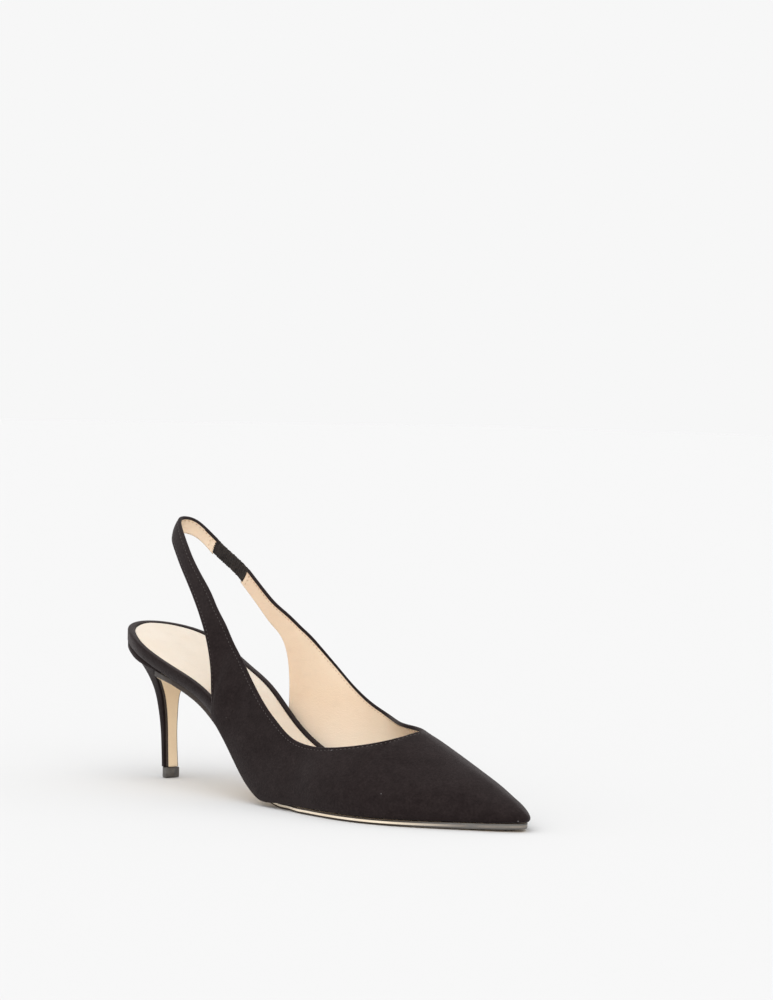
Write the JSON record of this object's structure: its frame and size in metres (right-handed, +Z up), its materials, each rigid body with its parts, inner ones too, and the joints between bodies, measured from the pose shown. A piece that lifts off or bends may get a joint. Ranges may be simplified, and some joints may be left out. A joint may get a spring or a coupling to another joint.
{
  "type": "slingback pump",
  "caption": "Pointed slingback pump for the right foot: black suede, low quarters, a sling strap with an elastic insert, a slender curved heel and a tan leather sole.",
  "frame": {"origin": "centre of the shoe's bounding box, on the floor it stands on", "axes": "+X from the heel to the toe, +Y to the inner side of the foot, +Z up"},
  "size_m": [0.2582, 0.077, 0.1268],
  "materials": {
    "upper_suede": "black suede with a fine nap, leather lined",
    "elastic": "ribbed black elastic",
    "rim_suede": "black suede wrapped over the insole's edge",
    "sock_leather": "smooth cream leather",
    "sole_leather": "smooth tan leather with a burnished edge",
    "heel_suede": "black suede wrapped over a rigid heel",
    "rubber": "hard black rubber"
  },
  "bodies": {
    "root": {"upper": "upper_suede", "elastic_gore": "elastic", "insole": "rim_suede", "sock_lining": "sock_leather", "outsole": "sole_leather", "heel": "heel_suede", "top_lift": "rubber"}
  },
  "joints": []
}
